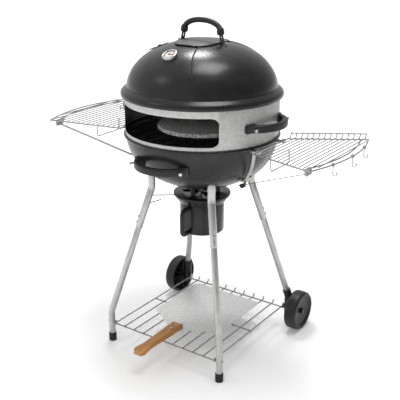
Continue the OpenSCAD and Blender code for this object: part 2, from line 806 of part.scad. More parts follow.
module hook(i) color("#9a9a9a") {
    x = table_r * cos(hook_az[i]);
    y = table_r * sin(hook_az[i]);
    lx = hinge_x + (x - hinge_x) * cos(table_rise);
    lz = hinge_z + (x - hinge_x) * sin(table_rise);
    ring = frame_r + 0.6 + 1.7;
    translate([lx, y, lz]) rotate([90, 0, 0]) {
        rotate_extrude() translate([ring, 0]) circle(1.7);
        wire([[0, -ring - 0.6], [0, -36], [14, -36], [14, -27]], 6, 1.7);
        translate([14, -26, 0]) sphere(3);
    }
}

// ---- pizza ring ----

module ring_band() color("#b8b9b6") difference() {
    union() {
        rotate_extrude() polygon([
            [ring_r - ring_t, ring_top], [ring_r, ring_top], [ring_r, ring_z],
            [skirt_r, ring_z], [skirt_r - 2, ring_z - 14], [skirt_r - 2 - ring_t, ring_z - 14],
            [skirt_r - ring_t, ring_z + ring_t], [ring_r - ring_t, ring_z + ring_t]]);
        // four lugs carry the stone's rack
        for (a = [0, 90, 180, 270]) rotate([0, 0, a + 20])
            block([10, 14, 2.5],
                  [ring_r - ring_t - 4.5, 0, rack_z - rack_r - gap - 1.25]);
    }
    ring_opening();
}

skirt_r = bowl_r - sheet - 3.5;

module ring_opening() {
    o = opening_corner;
    half_w = ring_r * sin(opening_half);
    for (s = [0, 1]) translate([0, 0, s == 0 ? sill_z + o : sill_z])
        translate([-(s == 0 ? half_w : half_w - o), -ring_r - 50, 0])
            cube([2 * (s == 0 ? half_w : half_w - o), ring_r - 40, opening_h - (s == 0 ? 2 * o : 0)]);
    for (x = [-1, 1], z = [sill_z + o, sill_z + opening_h - o])
        translate([x * (half_w - o), -ring_r - 50, z]) rotate([-90, 0, 0])
            cylinder(h = ring_r - 40, r = o);
}

module ring_handle() color("#1f1f20")
    translate([0, 0, ring_grip_z]) difference() {
        union() {
            arch_grip(ring_r, side_grip_half, side_grip_reach, grip_h, grip_t);
            for (s = [-1, 1]) grip_foot(s, ring_r, 0);
        }
        cylinder(h = 80, r = ring_r, center = true);
        for (s = [-1, 1]) grip_bolt(s, ring_r)
            cylinder(h = 80, r = 3 + running, center = true);
    }

module ring_handle_bolts() color("#c9c9c6")
    for (side = [-1, 1]) both_sides(side) translate([0, 0, ring_grip_z])
        for (s = [-1, 1]) grip_bolt(s, ring_r)
            translate([0, 0, head_seat]) screw(3, head_seat + 7.4, 6, 4);

module stone_rack() color("#202020")
    grate(ring_r - ring_t - rack_r - 1, rack_r, rack_bar, 22, rack_z);

module pizza_stone() color("#6e6b66")
    translate([0, 0, stone_z]) rotate_extrude() polygon([
        [0, 0], [stone_r - 1.5, 0], [stone_r, 1.5], [stone_r, stone_t - 2.5],
        [stone_r - 2.5, stone_t], [0, stone_t]]);

// ---- lid ----

dome_start = 5.6;

module lid_shell() color("#2b2b2c") {
    outer = curve_pts(lid_r, lid_rise, lid_n, dome_start);
    inner = curve_pts(lid_r - sheet, lid_rise - sheet, lid_n, dome_start);
    rim = [[flare_r - sheet, -9], [flare_r, -9], [flare_r, 3], [flare_r - 4, 10],
           [ring_r + 2, 15.5]];
    lip = [[ring_r + 1.2, 13.9], [flare_r - 5.3, 8.9], [flare_r - sheet, 2.6]];
    difference() {
        rotate_extrude() polygon([for (p = concat(rim, outer, reversed(inner), lip))
            [p[0], lid_z0 + p[1]]]);
        on_lid(thermo_rho, -93) cylinder(h = 40, r = 5.2, center = true);
        on_lid(vent_rho, -165) {
            cylinder(h = 40, r = 3 + running, center = true);
            vent_holes(9);
        }
        for (s = [-1, 1]) translate([s * lid_screw_x, 0, lid_top - 60])
            cylinder(h = 100, r = 3.1);
    }
}

module vent_holes(r)
    for (a = [0, 120, 240]) rotate([0, 0, a]) translate([20, 0, 0])
        cylinder(h = 60, r = r, center = true);

module lid_damper() color("#8c8c8a") on_lid(vent_rho, -165) difference() {
    union() {
        // a shallow cap that keeps clear of the dome all round
        intersection() {
            cylinder(h = 30, r = damper_r, center = true);
            translate([0, 0, 1 - cap_curve]) difference() {
                sphere(cap_curve + 1.4, $fn = 360);
                sphere(cap_curve, $fn = 360);
            }
        }
        translate([0, 0, -8]) cylinder(h = 13, r = 3);
        translate([0, 0, 3]) cylinder(h = 2.5, r = 7);
        translate([0, 0, -8]) cylinder(h = 3, r = 7);
        block([30, 10, 2.4], [damper_r, 0, 2.4 - pow(damper_r, 2) / 2 / cap_curve + 1.6]);
    }
    rotate([0, 0, 60]) vent_holes(8.5);
}

cap_curve = 420;

strap_t = 3;
foot_z = lid_z(lid_foot_x);
grip_end_z = lid_top + lid_grip_z - 9.5 - grip_sag;

module lid_handle_straps() color("#1b1b1c") for (s = [-1, 1]) both_sides(s) difference() {
    union() {
        // foot on the dome
        translate([lid_foot_x + 4, 0, foot_z]) rotate([0, 11, 0]) block([34, 24, 8], [0, 0, 0]);
        // upright with its cooling slot
        difference() {
            strap_wall();
            translate([0, 0, (foot_z + grip_end_z) / 2 + 1])
                block([400, 9, (grip_end_z - foot_z) * 0.5]);
        }
    }
    translate([0, 0, seat_gap]) lid_envelope();
    translate([lid_screw_x, 0, lid_top - 60]) cylinder(h = 80 + foot_z - lid_top, r = 3.1);
}

module strap_wall() {
    h = grip_end_z - foot_z;
    lean = atan2(lid_foot_x - lid_grip_half, h);
    translate([lid_foot_x - 4, 0, foot_z - 2]) rotate([0, -lean, 0])
        block([strap_t, 22, h + 12], [0, 0, (h + 12) / 2]);
}

module lid_handle_grip() color("#1f1f20") {
    R = arch_r(lid_grip_half, grip_sag);
    turn = asin(lid_grip_half / R) + 2;
    difference() {
        translate([0, 0, grip_end_z + grip_sag - R]) rotate([90, 0, 0]) rotate(90 - turn)
            rotate_extrude(angle = 2 * turn) translate([R, 0]) circle(9.5);
        for (s = [-1, 1]) both_sides(s) strap_pocket();
    }
}

// Pocket in the grip for the top of a strap
module strap_pocket() {
    h = grip_end_z - foot_z;
    lean = atan2(lid_foot_x - lid_grip_half, h);
    translate([lid_foot_x - 4, 0, foot_z - 2]) rotate([0, -lean, 0])
        block([strap_t + 0.4, 22.4, h + 12.4], [0, 0, (h + 12.4) / 2]);
}

shield_curve = 560;

module lid_handle_shield() color("#1b1b1c") intersection() {
    translate([0, 0, lid_top + 3 - shield_curve]) difference() {
        sphere(shield_curve + 2, $fn = 400);
        sphere(shield_curve, $fn = 400);
    }
    translate([0, 0, lid_top - 30]) linear_extrude(60)
        rounded_bar(2 * (lid_foot_x - 16), 64, 14);
}

module lid_handle_screws() color("#b5b5b2") for (s = [-1, 1])
    translate([s * lid_screw_x, 0, foot_z + 4.6]) screw(3, 13, 5.5, 3);

// ---- thermometer ----

case_h = 12;

module thermometer_case() color("#cfcfcd") difference() {
    on_lid(thermo_rho, -93) difference() {
        translate([0, 0, -4]) cylinder(h = case_h + 4, r = thermo_r);
        translate([0, 0, case_h - 4]) cylinder(h = 10, r = thermo_r - 2.5);
        cylinder(h = 60, r = 3.6, center = true);
    }
    translate([0, 0, seat_gap]) lid_envelope();
}

module thermometer_dial() color("#f0ece8") on_lid(thermo_rho, -93)
    translate([0, 0, case_h - 4]) difference() {
        cylinder(h = 1, r = thermo_r - 2.6);
        cylinder(h = 10, r = 2, center = true);
    }

module thermometer_stem() color("#c9c9c6") on_lid(thermo_rho, -93) {
    translate([0, 0, -55]) cylinder(h = 55 + case_h - 5, r = 3.5);
    translate([0, 0, -9 - sheet]) cylinder(h = 5, r = 9, $fn = 6);
}

module thermometer_needle() color("#1a1a1a") on_lid(thermo_rho, -93)
    translate([0, 0, case_h - 2.6]) {
        cylinder(h = 1.2, r = 3);
        block([2.2, thermo_r - 5, 0.8], [0, (thermo_r - 5) / 2 - 5, 0.4]);
        translate([0, 0, -2]) cylinder(h = 2.5, r = 1.5);
    }

// ---- peel ----

blade_t = 1.6;
peel_neck = 52;
peel_grip_h = 18;
peel_grip_w = 46;

module peel_outline() polygon([
    [-peel_w / 2, peel_y1 - 14], [-peel_w / 2 + 14, peel_y1], [peel_w / 2 - 14, peel_y1],
    [peel_w / 2, peel_y1 - 14], [peel_w / 2, peel_y0 + 88], [peel_neck / 2, peel_y0 + 8],
    [peel_neck / 2 - 6, peel_y0 - 30], [-peel_neck / 2 + 6, peel_y0 - 30],
    [-peel_neck / 2, peel_y0 + 8], [-peel_w / 2, peel_y0 + 88]]);

peel_rivet_y = [peel_y0 - 18, peel_y0 + 12];

module peel_blade() color("#bdbdb9") translate([peel_x, 0, peel_z + 0.8]) difference() {
    linear_extrude(blade_t) peel_outline();
    for (y = peel_rivet_y) translate([0, y, -5]) cylinder(h = 20, r = 3.02);
}

module peel_handle() color("#c98f4e") translate([peel_x, 0, peel_z]) difference() {
    union() {
        linear_extrude(peel_grip_h) polygon([
            [-peel_grip_w / 2, peel_y0 + 26], [peel_grip_w / 2, peel_y0 + 26],
            [peel_grip_w / 2 - 7, peel_end + 60], [peel_grip_w / 2, peel_end + 16],
            [peel_grip_w / 2 - 8, peel_end], [-peel_grip_w / 2 + 8, peel_end],
            [-peel_grip_w / 2, peel_end + 16], [-peel_grip_w / 2 + 7, peel_end + 60]]);
    }
    block([2 * peel_grip_w, 114, blade_t + 0.2], [0, peel_y0 + 26, blade_t / 2 + 0.8]);
    for (y = peel_rivet_y) translate([0, y, -5]) cylinder(h = 60, r = 3.02);
}

module peel_rivets() color("#d8d8d4") for (y = peel_rivet_y)
    translate([peel_x, y, peel_z + 0.2]) {
        cylinder(h = peel_grip_h, r = 3);
        translate([0, 0, peel_grip_h - 0.2 + 0.05]) cylinder(h = 1.2, r = 5);
    }

// ---- nodes ----

place() bowl();
place() charcoal_grate();
place() cooking_grate();
place() bowl_handle_bracket();
place() bowl_handle_grip();
place() bowl_handle_bolts();
place() leg_sockets();
place() upper_leg(leg_az[0]);  // upper_leg_front_left
place() upper_leg(leg_az[1]);  // upper_leg_front_right
place() upper_leg(leg_az[2]);  // upper_leg_rear_right
place() upper_leg(leg_az[3]);  // upper_leg_rear_left
place() lower_leg(leg_az[0], 4.4);  // lower_leg_front_left
place() lower_leg(leg_az[1], 4.4);  // lower_leg_front_right
place() lower_leg(leg_az[2], axle_z + 17);  // lower_leg_rear_right
place() lower_leg(leg_az[3], axle_z + 17);  // lower_leg_rear_left
place() leg_screws();
place() foot_caps();
place() wheel_bracket();  // wheel_bracket_right
place() both_sides(-1) wheel_bracket();  // wheel_bracket_left
place() axles();
place() axle_nuts();
place() shelf();
place() shelf_bolts();
place() ash_plate();
place() ash_plate_bolts();
place() table_bracket();  // table_bracket_right
place() both_sides(-1) table_bracket();  // table_bracket_left
place() strut_knobs();
place() ring_band();
place() ring_handle();  // ring_handle_right
place() both_sides(-1) ring_handle();  // ring_handle_left
place() ring_handle_bolts();
place() stone_rack();
place() pizza_stone();
place() lid_shell();
place() lid_handle_straps();
place() lid_handle_grip();
place() lid_handle_shield();
place() lid_handle_screws();
place() thermometer_case();
place() thermometer_dial();
place() thermometer_stem();
place() thermometer_needle();
place() lid_damper();
place() ash_can();
place() ash_can_grip();
place() sweeper_blades();
place() sweeper_lever();
place() table();  // table_right
place() both_sides(-1) table();  // table_left
place() strut();  // strut_right
place() both_sides(-1) strut();  // strut_left
place() hook(0);  // hook_front
place() hook(1);  // hook_middle
place() hook(2);  // hook_rear
place() wheel();  // wheel_right
place() both_sides(-1) wheel();  // wheel_left
place() peel_blade();
place() peel_handle();
place() peel_rivets();
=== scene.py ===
"""A kettle charcoal grill with a pizza ring, side tables, ash catcher and a peel on its shelf."""
import json
import math

import bpy
from mathutils import Matrix, Vector


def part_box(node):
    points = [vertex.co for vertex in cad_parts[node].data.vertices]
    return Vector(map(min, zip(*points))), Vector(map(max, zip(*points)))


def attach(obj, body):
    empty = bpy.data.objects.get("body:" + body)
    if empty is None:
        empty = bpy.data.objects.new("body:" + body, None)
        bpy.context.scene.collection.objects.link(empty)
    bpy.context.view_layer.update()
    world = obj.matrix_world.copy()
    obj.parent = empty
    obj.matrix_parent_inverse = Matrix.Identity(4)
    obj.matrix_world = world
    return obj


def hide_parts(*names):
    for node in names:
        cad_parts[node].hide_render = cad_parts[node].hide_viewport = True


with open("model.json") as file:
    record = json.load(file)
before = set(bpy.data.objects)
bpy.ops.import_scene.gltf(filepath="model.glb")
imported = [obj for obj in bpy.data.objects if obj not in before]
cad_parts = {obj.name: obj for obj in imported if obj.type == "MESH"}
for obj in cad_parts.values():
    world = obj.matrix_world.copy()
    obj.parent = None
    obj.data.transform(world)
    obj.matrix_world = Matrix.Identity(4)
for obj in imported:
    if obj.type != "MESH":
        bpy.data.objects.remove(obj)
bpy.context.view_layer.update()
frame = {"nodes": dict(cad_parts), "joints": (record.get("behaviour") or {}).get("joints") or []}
nodes = frame["nodes"]
joints = {joint["name"]: joint for joint in frame["joints"]}

# ---- camera, floor and lights ----
# A product shot from above the front right corner, on a white sweep under large soft lamps.

bowl_low, bowl_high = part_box("bowl")
kettle_y = (bowl_low.y + bowl_high.y) / 2


def at(x, y, z):
    """A point measured from the kettle's own upright axis."""
    return Vector((x, y + kettle_y, z))


camera = bpy.data.objects.new("camera", bpy.data.cameras.new("camera"))
bpy.context.scene.collection.objects.link(camera)
camera.location = at(1.5694, -2.2431, 1.5853)
camera.rotation_euler = (math.radians(69.72), 0, math.radians(35.145))
camera.data.sensor_width = 36
camera.data.lens = 68.38
bpy.context.scene.camera = camera
bpy.context.scene.view_settings.view_transform = "Standard"

world = bpy.data.worlds.new("studio")
world.use_nodes = True
studio = world.node_tree
room_side = studio.nodes.new("ShaderNodeTexCoord")
room_turn = studio.nodes.new("ShaderNodeSeparateXYZ")
room_fall = studio.nodes.new("ShaderNodeMapRange")
room_fall.inputs["From Min"].default_value = -0.5
room_fall.inputs["From Max"].default_value = 0.9
room_fall.inputs["To Min"].default_value = 0.8
room_fall.inputs["To Max"].default_value = 0.16
studio.links.new(room_side.outputs["Generated"], room_turn.inputs["Vector"])
studio.links.new(room_turn.outputs["X"], room_fall.inputs["Value"])
studio.links.new(room_fall.outputs["Result"], studio.nodes["Background"].inputs["Strength"])
studio.nodes["Background"].inputs["Color"].default_value = (1, 1, 1, 1)
bpy.context.scene.world = world


def soft_lamp(name, place, target, size, power):
    data = bpy.data.lights.new(name, "AREA")
    data.shape = "RECTANGLE"
    data.size, data.size_y = size
    data.energy = power
    lamp = bpy.data.objects.new(name, data)
    bpy.context.scene.collection.objects.link(lamp)
    lamp.location = place
    lamp.rotation_euler = (target - place).to_track_quat("-Z", "Y").to_euler()
    return lamp


soft_lamp("overhead_softbox", at(0.36, 0.0, 3.3), at(0.1, -0.1, 1.1), (1.2, 1.05), 42)
soft_lamp("rear_softbox", at(-0.74, 0.9, 2.9), at(0.08, -0.14, 1.15), (0.5, 0.36), 24)
soft_lamp("left_softbox", at(-1.32, -1.6, 2.7), at(0, -0.2, 1.0), (0.5, 0.5), 3.2)
front_fill = soft_lamp("front_fill", at(0.9, -2.7, 1.5), at(0, 0, 0.85), (1.2, 1.0), 19)
front_fill.visible_glossy = False


def start(name):
    """Names what the last operator added, and leaves it selected alone."""
    piece = bpy.context.object
    piece.name = name
    piece.data.name = name
    return piece


def finish_with(name, color, rough, metal=0.0, shine=0.5):
    finish = bpy.data.materials.new(name)
    finish.use_nodes = True
    shader = finish.node_tree.nodes["Principled BSDF"]
    shader.inputs["Base Color"].default_value = (*color, 1)
    shader.inputs["Roughness"].default_value = rough
    shader.inputs["Metallic"].default_value = metal
    shader.inputs["Specular IOR Level"].default_value = shine
    return finish


def coat(piece, finish):
    piece.data.materials.clear()
    piece.data.materials.append(finish)


bpy.ops.mesh.primitive_plane_add(size=60, location=(0, 0, 0))
floor = start("floor")
floor_paint = finish_with("floor_paint", (0.9, 0.9, 0.9), 0.9)
floor_shader = floor_paint.node_tree.nodes["Principled BSDF"]
floor_shader.inputs["Specular IOR Level"].default_value = 0.1
# The floor glows as painted light. It is weakest near its middle under the kettle, which reads as
# painted shade there, and strongest past 1.6 m, so the far sweep reads white.
floor_shader.inputs["Emission Color"].default_value = (1, 1, 1, 1)
floor_place = floor_paint.node_tree.nodes.new("ShaderNodeTexCoord")
floor_reach = floor_paint.node_tree.nodes.new("ShaderNodeVectorMath")
floor_reach.operation = "LENGTH"
floor_glow = floor_paint.node_tree.nodes.new("ShaderNodeMapRange")
floor_glow.inputs["From Min"].default_value = 0.45
floor_glow.inputs["From Max"].default_value = 1.6
floor_glow.inputs["To Min"].default_value = 0.1
floor_glow.inputs["To Max"].default_value = 0.72
floor_paint.node_tree.links.new(floor_place.outputs["Object"], floor_reach.inputs[0])
floor_paint.node_tree.links.new(floor_reach.outputs["Value"], floor_glow.inputs["Value"])
floor_paint.node_tree.links.new(floor_glow.outputs["Result"],
                                floor_shader.inputs["Emission Strength"])
coat(floor, floor_paint)

# ---- lid ----
# A deep-drawn steel dome with a rolled, flared rim that sits over the ring, dipped in black
# porcelain enamel. One side is pressed a little proud, with a black bead along where it starts
# as painted shade for its crease.

sheet = 0.0016
dome_r = 0.277
dome_rise = 0.182
dome_power = 2.2
dome_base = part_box("lid_shell")[1].z - dome_rise


def dome_ring(turn, inset=0.0):
    """Radius and height of the dome at a turn from its base, 0 to 90 degrees."""
    a = math.radians(turn)
    return ((dome_r - inset) * math.cos(a) ** (2 / dome_power),
            dome_base + (dome_rise - inset) * math.sin(a) ** (2 / dome_power))


def turned(name, rings, steps=160):
    """Spun about the upright axis: a circle drawn out ring by ring, still open at both ends."""
    bpy.ops.object.select_all(action="DESELECT")
    radius, height = rings[0]
    bpy.ops.mesh.primitive_circle_add(vertices=steps, radius=radius, location=(0, 0, height))
    piece = start(name)
    bpy.ops.object.transform_apply(location=True)
    bpy.ops.object.mode_set(mode="EDIT")
    bpy.ops.mesh.select_all(action="SELECT")
    for next_radius, next_height in rings[1:]:
        bpy.ops.mesh.extrude_edges_move(
            TRANSFORM_OT_translate={"value": (0, 0, next_height - height)})
        bpy.ops.transform.resize(
            value=(next_radius / radius, next_radius / radius, 1), center_override=(0, 0, 0))
        radius, height = next_radius, next_height
    return piece


def close_pole():
    """Draws the selected ring in to one point."""
    bpy.ops.mesh.extrude_edges_move(TRANSFORM_OT_translate={"value": (0, 0, 0)})
    bpy.ops.mesh.merge(type="CENTER")


def select_ring(piece, height, radius):
    bpy.ops.mesh.select_all(action="DESELECT")
    bpy.ops.object.mode_set(mode="OBJECT")
    for vertex in piece.data.vertices:
        vertex.select = (abs(vertex.co.z - height) < 1e-5
                         and abs(vertex.co.xy.length - radius) < 1e-5)
    bpy.ops.object.mode_set(mode="EDIT")
    bpy.ops.mesh.select_mode(type="VERT")


def solid_of_revolution(name, rings, steps=160, sharp=35):
    """Closes both ends of a turned shape and puts its normals right."""
    piece = turned(name, rings, steps)
    close_pole()
    select_ring(piece, rings[0][1], rings[0][0])
    close_pole()
    bpy.ops.mesh.select_all(action="SELECT")
    bpy.ops.mesh.remove_doubles(threshold=1e-6)
    bpy.ops.mesh.normals_make_consistent(inside=False)
    bpy.ops.object.mode_set(mode="OBJECT")
    bpy.ops.object.shade_smooth_by_angle(angle=math.radians(sharp))
    return piece


def select_only(piece):
    if bpy.context.object and bpy.context.object.mode != "OBJECT":
        bpy.ops.object.mode_set(mode="OBJECT")
    bpy.ops.object.select_all(action="DESELECT")
    piece.select_set(True)
    bpy.context.view_layer.objects.active = piece


def set_down(piece, place, turn=None):
    """Puts a piece that was made about the origin in its place, in its mesh."""
    select_only(piece)
    matrix = Matrix.Translation(place)
    if turn is not None:
        matrix = matrix @ turn.to_matrix().to_4x4()
    piece.matrix_world = matrix
    bpy.context.view_layer.update()
    bpy.ops.object.transform_apply(location=True, rotation=True, scale=True)
    return piece


def mm(radius, height, base):
    return radius / 1000, base + height / 1000


dome_foot_turn = 5.6
dome_turn_span = 80.4
dome_steps = 44
dome_turns = [dome_foot_turn + dome_turn_span * (i / dome_steps) ** 1.05
              for i in range(dome_steps + 1)]
outer_dome = [dome_ring(t) for t in reversed(dome_turns)]
inner_dome = [dome_ring(t, sheet) for t in dome_turns]
rolled_rim = [mm(*p, dome_base) for p in (
    (280.2, 19.6), (284.4, 16.6), (288.2, 13.6), (291.6, 11), (294.4, 7.8), (296.4, 4.2),
    (297.4, 0.4), (297.5, -4), (297.1, -7.6), (296.2, -9), (294.9, -8.4), (294.6, -5),
    (295.6, -1), (295.1, 2.6), (292.4, 7), (288.6, 10.6), (284.6, 14.2), (279.6, 17.6))]
lid = solid_of_revolution("lid_dome", outer_dome + rolled_rim + inner_dome, 192, 60)
set_down(lid, at(0, 0, 0))

pattern_low, pattern_high = 0.3, 0.7


def grain_of(finish, size, detail=4.0, stretch=(1, 1, 1), kind="ShaderNodeTexNoise"):
    """A pattern of about this size in metres; a stretch below 1 draws it out along that axis."""
    tree = finish.node_tree
    place = tree.nodes.new("ShaderNodeTexCoord")
    scale = tree.nodes.new("ShaderNodeMapping")
    scale.inputs["Scale"].default_value = stretch
    grain = tree.nodes.new(kind)
    grain.inputs["Scale"].default_value = 1 / size
    if kind == "ShaderNodeTexNoise":
        grain.inputs["Detail"].default_value = detail
    tree.links.new(place.outputs["Object"], scale.inputs["Vector"])
    tree.links.new(scale.outputs["Vector"], grain.inputs["Vector"])
    return grain


def colour_by(finish, grain, stops):
    """Takes the colour from a pattern, by stops that each give a place and a colour."""
    ramp = finish.node_tree.nodes.new("ShaderNodeValToRGB")
    while len(ramp.color_ramp.elements) < len(stops):
        ramp.color_ramp.elements.new(0.5)
    for element, (place, color) in zip(ramp.color_ramp.elements, stops):
        element.position = place
        element.color = (*color, 1)
    links = finish.node_tree.links
    links.new(grain.outputs[0], ramp.inputs["Fac"])
    links.new(ramp.outputs["Color"],
              finish.node_tree.nodes["Principled BSDF"].inputs["Base Color"])


def colour_between(finish, grain, dark, light):
    """Lets the colour run from dark to light over the middle of a pattern's spread."""
    colour_by(finish, grain, ((pattern_low, dark), (pattern_high, light)))


def gloss_by(finish, grain, low, high):
    """Lets the roughness run from low to high with a pattern."""
    spread = finish.node_tree.nodes.new("ShaderNodeMapRange")
    spread.inputs["From Min"].default_value = pattern_low
    spread.inputs["From Max"].default_value = pattern_high
    spread.inputs["To Min"].default_value = low
    spread.inputs["To Max"].default_value = high
    links = finish.node_tree.links
    links.new(grain.outputs[0], spread.inputs["Value"])
    links.new(spread.outputs["Result"],
              finish.node_tree.nodes["Principled BSDF"].inputs["Roughness"])


def relief_by(finish, grain, depth, strength=1.0):
    """Raises the surface by a pattern, to a depth in metres."""
    relief = finish.node_tree.nodes.new("ShaderNodeBump")
    relief.inputs["Distance"].default_value = depth
    relief.inputs["Strength"].default_value = strength
    links = finish.node_tree.links
    links.new(grain.outputs[0], relief.inputs["Height"])
    links.new(relief.outputs["Normal"],
              finish.node_tree.nodes["Principled BSDF"].inputs["Normal"])


enamel = finish_with("black_enamel", (0.012, 0.012, 0.0125), 0.27, 0.0, 0.33)
colour_between(enamel, grain_of(enamel, 0.05, 6),
               (0.009, 0.009, 0.0094), (0.014, 0.014, 0.0145))
gloss_by(enamel, grain_of(enamel, 0.02, 8), 0.25, 0.31)
relief_by(enamel, grain_of(enamel, 0.008, 1), 0.00001, 0.4)
coat(lid, enamel)
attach(lid, "lid")
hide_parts("lid_shell")

# The pressed side: the same dome 1 mm proud on the right of an arc, sinking into the lid lower
# down, with a black bead laid along the arc as painted shade in the crease.

crease_centre = Vector((0.345, -0.030))
crease_r = 0.300
press_foot = 0.062
press_reach = 0.075
press_wall = 0.0007
press_turns = dome_turns[6:]


def proud(height):
    """How far the pressed side stands out at a height, in metres."""
    rise = min(max((height - (dome_base + press_foot)) / press_reach, 0), 1)
    return -press_wall + 0.0018 * rise * rise * (3 - 2 * rise)


def lifted(ring, extra=0.0):
    radius, height = ring
    return radius + proud(height) + extra, height + proud(height) * 0.8 + extra


panel_rings = [lifted(dome_ring(t)) for t in reversed(press_turns)]
panel_rings += [lifted(dome_ring(t), -press_wall) for t in press_turns]
panel = solid_of_revolution("lid_pressed_side", panel_rings, 160, 60)
bpy.ops.mesh.primitive_cylinder_add(
    vertices=180, radius=crease_r, depth=0.5, location=(*crease_centre, dome_base + 0.1))
cutter = start("crease_cutter")


def cut_by(piece, cutter, operation="DIFFERENCE"):
    """Cuts a piece by another mesh, which is then thrown away."""
    select_only(piece)
    cut = piece.modifiers.new("cut", "BOOLEAN")
    cut.operation = operation
    cut.object = cutter
    bpy.ops.object.modifier_apply(modifier="cut")
    bpy.data.objects.remove(cutter)


cut_by(panel, cutter, "INTERSECT")
select_only(panel)
bpy.ops.object.shade_smooth_by_angle(angle=math.radians(40))
set_down(panel, at(0, 0, 0))
coat(panel, enamel)
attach(panel, "lid")


def dome_height(radius):
    return dome_base + dome_rise * (1 - (radius / dome_r) ** dome_power) ** (1 / dome_power)


def tube_along(name, points, radius, taper=None, sides=3, cyclic=False):
    """A round bead laid along points, as a mesh."""
    curve = bpy.data.curves.new(name, "CURVE")
    curve.dimensions = "3D"
    curve.bevel_depth = radius
    curve.bevel_resolution = sides
    curve.use_fill_caps = not cyclic
    line = curve.splines.new("POLY")
    line.points.add(len(points) - 1)
    line.use_cyclic_u = cyclic
    for i, point in enumerate(points):
        line.points[i].co = (*point, 1)
        line.points[i].radius = taper[i] if taper else 1
    piece = bpy.data.objects.new(name, curve)
    bpy.context.scene.collection.objects.link(piece)
    select_only(piece)
    bpy.ops.object.convert(target="MESH")
    piece = start(name)
    bpy.ops.object.shade_smooth_by_angle(angle=math.radians(50))
    return piece


crease_start = 218
crease_sweep = 90
crease_steps = 96
crease_bead_r = 0.0029
crease_reach = dome_r * 0.95
crease_points = []
crease_taper = []
for i in range(crease_steps + 1):
    a = math.radians(crease_start - crease_sweep * i / crease_steps)
    spot = crease_centre + crease_r * Vector((math.cos(a), math.sin(a)))
    if spot.length > crease_reach:
        continue
    height = dome_height(spot.length)
    fade = min(max((height - (dome_base + 0.072)) / 0.05, 0.03), 1)
    if spot.y > 0.05:
        fade = max(fade, 0.7)
    crease_points.append(at(spot.x - 0.0012, spot.y, height + 0.0009))
    crease_taper.append(fade)
crease = tube_along("lid_crease_shade", crease_points, crease_bead_r, crease_taper)
# The near-black bead is painted shade: it stands for the shadow in the crease at the pressed
# side's edge.
crease_black = finish_with("crease_black", (0.003, 0.003, 0.003), 0.7)
relief_by(crease_black, grain_of(crease_black, 0.002), 0.0001)
coat(crease, crease_black)
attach(crease, "lid")

# ---- lid handle ----
# A moulded black heat-proof grip on two slotted steel straps, over a shield plate that keeps the
# hand off the hot dome. The straps' feet are screwed through the dome.

grip_plastic = finish_with("grip_plastic", (0.009, 0.009, 0.0095), 0.42, 0.0, 0.35)
colour_between(grip_plastic, grain_of(grip_plastic, 0.03, 5),
               (0.007, 0.007, 0.0073), (0.012, 0.012, 0.0125))
gloss_by(grip_plastic, grain_of(grip_plastic, 0.012, 6), 0.36, 0.5)
relief_by(grip_plastic, grain_of(grip_plastic, 0.0007, 2), 0.00008, 0.7)
weld_gap = 0.00002
flat_turn = 0.4


def break_edges(piece, width, steps=2, sharp=30):
    """Rounds every edge that turns by more than an angle in degrees."""
    edge = piece.modifiers.new("broken_edges", "BEVEL")
    edge.width = width
    edge.segments = steps
    edge.limit_method = "ANGLE"
    edge.angle_limit = math.radians(sharp)
    edge.use_clamp_overlap = True
    bpy.ops.object.modifier_apply(modifier="broken_edges")


def refined(name, node, rounding, body, finish, steps=2, sharp=40):
    """The CAD solid's own shape, welded, with its edges broken by a small radius."""
    piece = nodes[node].copy()
    piece.data = nodes[node].data.copy()
    piece.parent = None
    for key in list(piece.keys()):
        del piece[key]
    piece.name = name
    piece.data.name = name
    bpy.context.scene.collection.objects.link(piece)
    select_only(piece)
    bpy.ops.mesh.customdata_custom_splitnormals_clear()
    bpy.ops.object.mode_set(mode="EDIT")
    bpy.ops.mesh.select_all(action="SELECT")
    bpy.ops.mesh.remove_doubles(threshold=weld_gap)
    bpy.ops.mesh.dissolve_limited(angle_limit=math.radians(flat_turn))
    bpy.ops.object.mode_set(mode="OBJECT")
    if rounding:
        break_edges(piece, rounding, steps, sharp)
    bpy.ops.object.shade_smooth_by_angle(angle=math.radians(sharp))
    coat(piece, finish)
    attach(piece, body)
    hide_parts(node)
    return piece


grip_low, grip_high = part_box("lid_handle_grip")
boot_z = grip_low.z - 0.006
arch_top = grip_high.z - 0.0095
arch_bar_r = 0.0097
arch_steps = 24
grip_path = [(-0.0795, boot_z, 0.0105), (-0.0793, boot_z + 0.0015, 0.0128),
             (-0.0782, boot_z + 0.010, 0.0134), (-0.0762, boot_z + 0.0185, 0.0128),
             (-0.0752, boot_z + 0.0205, 0.0103)]
shoulder = Vector((-0.0748, boot_z + 0.0215))
crown = arch_top - shoulder.y
for i in range(1, arch_steps):
    x = shoulder.x - 2 * shoulder.x * i / arch_steps
    rise = (1 - abs(x / shoulder.x) ** 2.3) ** 0.72
    grip_path.append((x, shoulder.y + crown * rise, arch_bar_r))
grip_path += [(-x, z, r) for x, z, r in reversed(grip_path[:5])]
arch = tube_along("lid_grip_arch", [at(x, 0, z) for x, z, r in grip_path], arch_bar_r,
                  [r / arch_bar_r for x, z, r in grip_path], 5)
coat(arch, grip_plastic)
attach(arch, "lid")
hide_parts("lid_handle_grip")

black_steel = finish_with("black_steel", (0.014, 0.014, 0.014), 0.38)
colour_between(black_steel, grain_of(black_steel, 0.02, 5),
               (0.010, 0.010, 0.010), (0.018, 0.018, 0.018))
gloss_by(black_steel, grain_of(black_steel, 0.01, 6), 0.3, 0.45)
relief_by(black_steel, grain_of(black_steel, 0.001, 3), 0.00005, 0.6)
strap_wall = 0.0034
strap_width = 0.0215
strap_lean = 0.009
slot_r = 0.0032
strap_break = 0.0006


def block(name, size):
    """A box about the origin."""
    bpy.ops.object.select_all(action="DESELECT")
    bpy.ops.mesh.primitive_cube_add(size=1, location=(0, 0, 0))
    piece = start(name)
    piece.scale = size
    bpy.ops.object.transform_apply(scale=True)
    return piece


